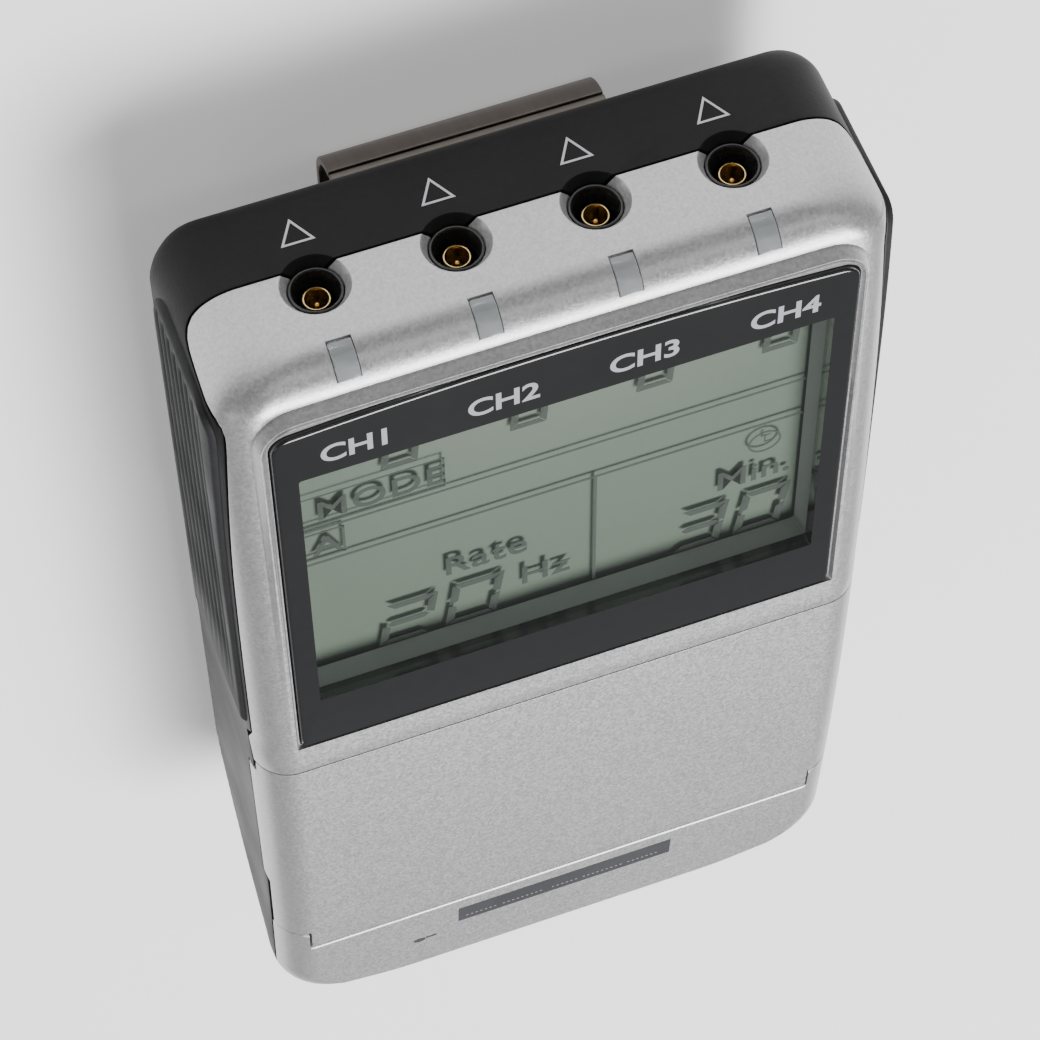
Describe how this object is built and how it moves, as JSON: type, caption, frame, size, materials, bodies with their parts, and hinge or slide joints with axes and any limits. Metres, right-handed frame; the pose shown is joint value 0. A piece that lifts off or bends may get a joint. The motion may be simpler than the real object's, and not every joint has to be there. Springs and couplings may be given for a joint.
{
  "type": "tens unit",
  "caption": "Pocket nerve stimulator with an LCD, a flip cover over its keys, lead sockets at the top end, a battery door and a spring belt clip on its back.",
  "frame": {"origin": "under the middle of the unit, on the plane of the belt clip's outer face, on which it lies", "axes": "+Z out of the front with its display, +Y to the end with the lead sockets, +X to the right of the display as it is read with the sockets at the top"},
  "size_m": [0.0794, 0.149, 0.038],
  "materials": {
    "silver_paint": "satin metallic flake paint over moulded plastic",
    "black_plastic": "fine-textured matte",
    "socket_plastic": "smooth semi-gloss",
    "grip_rubber": "matte soft-touch",
    "window_panel": "glossy clear-coated dark panel",
    "lcd_glass": "reflective grey-green display",
    "connector_rubber": "striped elastomer",
    "circuit_board": "solder-mask green",
    "gold_contact": "gold-plated",
    "frosted_clear": "frosted clear",
    "led_lens": "tinted clear lens",
    "ferrite": "wound core in a moulded case",
    "key_grey": "matte moulded",
    "keypad_rubber": "matte silicone",
    "cell_wrap": "printed metallic wrap",
    "plated_steel": "nickel-plated",
    "clip_steel": "bronze-grey satin"
  },
  "bodies": {
    "unit": {"front_housing": "silver_paint", "rear_housing": "black_plastic", "lcd_holder": "black_plastic", "lead_jack_1": "socket_plastic", "lead_jack_2": "socket_plastic", "lead_jack_3": "socket_plastic", "lead_jack_4": "socket_plastic", "side_grip_left": "grip_rubber", "side_grip_right": "grip_rubber", "display_window": "window_panel", "lcd_glass": "lcd_glass", "lcd_connector": "connector_rubber", "main_board": "circuit_board", "jack_pin_1": "gold_contact", "jack_pin_2": "gold_contact", "jack_pin_3": "gold_contact", "jack_pin_4": "gold_contact", "light_window_1": "frosted_clear", "light_window_2": "frosted_clear", "light_window_3": "frosted_clear", "light_window_4": "frosted_clear", "channel_light_1": "led_lens", "channel_light_2": "led_lens", "channel_light_3": "led_lens", "channel_light_4": "led_lens", "transformer_1": "ferrite", "transformer_2": "ferrite", "transformer_3": "ferrite", "transformer_4": "ferrite", "keypad_mat": "keypad_rubber", "battery_1": "cell_wrap", "battery_2": "cell_wrap", "battery_3": "cell_wrap", "battery_4": "cell_wrap", "contact_positive": "plated_steel", "contact_negative": "plated_steel", "contact_bridge_top": "plated_steel", "contact_bridge_left": "plated_steel", "contact_bridge_right": "plated_steel", "clip_screw": "plated_steel", "housing_screw_1": "plated_steel", "housing_screw_2": "plated_steel", "housing_screw_3": "plated_steel", "housing_screw_4": "plated_steel", "clip_tongue": "clip_steel"},
    "cover": {"flip_cover": "silver_paint"},
    "door": {"battery_door": "black_plastic"},
    "clip_arm": {"clip_arm": "clip_steel"},
    "button_ch1_up": {"button_ch1_up": "key_grey"},
    "button_ch1_down": {"button_ch1_down": "key_grey"},
    "button_ch2_up": {"button_ch2_up": "key_grey"},
    "button_ch2_down": {"button_ch2_down": "key_grey"},
    "button_ch3_up": {"button_ch3_up": "key_grey"},
    "button_ch3_down": {"button_ch3_down": "key_grey"},
    "button_ch4_up": {"button_ch4_up": "key_grey"},
    "button_ch4_down": {"button_ch4_down": "key_grey"},
    "button_mode": {"button_mode": "key_grey"},
    "button_set": {"button_set": "key_grey"},
    "button_minus": {"button_minus": "key_grey"},
    "button_plus": {"button_plus": "key_grey"}
  },
  "joints": [
    {"name": "cover_hinge", "type": "hinge", "parent": "unit", "child": "cover", "pos_m": [0, -0.0525, 0.03425], "axis": [1, 0, 0], "range_deg": [0, 100]},
    {"name": "clip_spring", "type": "hinge", "parent": "unit", "child": "clip_arm", "pos_m": [0, 0.06585, 0.00515], "axis": [1, 0, 0], "range_deg": [0, 8], "stiffness_Nm_per_rad": 5},
    {"name": "door_release", "type": "slide", "parent": "unit", "child": "door", "axis": [0, 0, -1], "range_m": [0, 0.0072]},
    {"name": "press_ch1_up", "type": "slide", "parent": "unit", "child": "button_ch1_up", "axis": [0, 0, -1], "range_m": [0, 0.0004], "stiffness_N_per_m": 2500},
    {"name": "press_ch1_down", "type": "slide", "parent": "unit", "child": "button_ch1_down", "axis": [0, 0, -1], "range_m": [0, 0.0004], "stiffness_N_per_m": 2500},
    {"name": "press_ch2_up", "type": "slide", "parent": "unit", "child": "button_ch2_up", "axis": [0, 0, -1], "range_m": [0, 0.0004], "stiffness_N_per_m": 2500},
    {"name": "press_ch2_down", "type": "slide", "parent": "unit", "child": "button_ch2_down", "axis": [0, 0, -1], "range_m": [0, 0.0004], "stiffness_N_per_m": 2500},
    {"name": "press_ch3_up", "type": "slide", "parent": "unit", "child": "button_ch3_up", "axis": [0, 0, -1], "range_m": [0, 0.0004], "stiffness_N_per_m": 2500},
    {"name": "press_ch3_down", "type": "slide", "parent": "unit", "child": "button_ch3_down", "axis": [0, 0, -1], "range_m": [0, 0.0004], "stiffness_N_per_m": 2500},
    {"name": "press_ch4_up", "type": "slide", "parent": "unit", "child": "button_ch4_up", "axis": [0, 0, -1], "range_m": [0, 0.0004], "stiffness_N_per_m": 2500},
    {"name": "press_ch4_down", "type": "slide", "parent": "unit", "child": "button_ch4_down", "axis": [0, 0, -1], "range_m": [0, 0.0004], "stiffness_N_per_m": 2500},
    {"name": "press_mode", "type": "slide", "parent": "unit", "child": "button_mode", "axis": [0, 0, -1], "range_m": [0, 0.0004], "stiffness_N_per_m": 2500},
    {"name": "press_set", "type": "slide", "parent": "unit", "child": "button_set", "axis": [0, 0, -1], "range_m": [0, 0.0004], "stiffness_N_per_m": 2500},
    {"name": "press_minus", "type": "slide", "parent": "unit", "child": "button_minus", "axis": [0, 0, -1], "range_m": [0, 0.0004], "stiffness_N_per_m": 2500},
    {"name": "press_plus", "type": "slide", "parent": "unit", "child": "button_plus", "axis": [0, 0, -1], "range_m": [0, 0.0004], "stiffness_N_per_m": 2500}
  ]
}
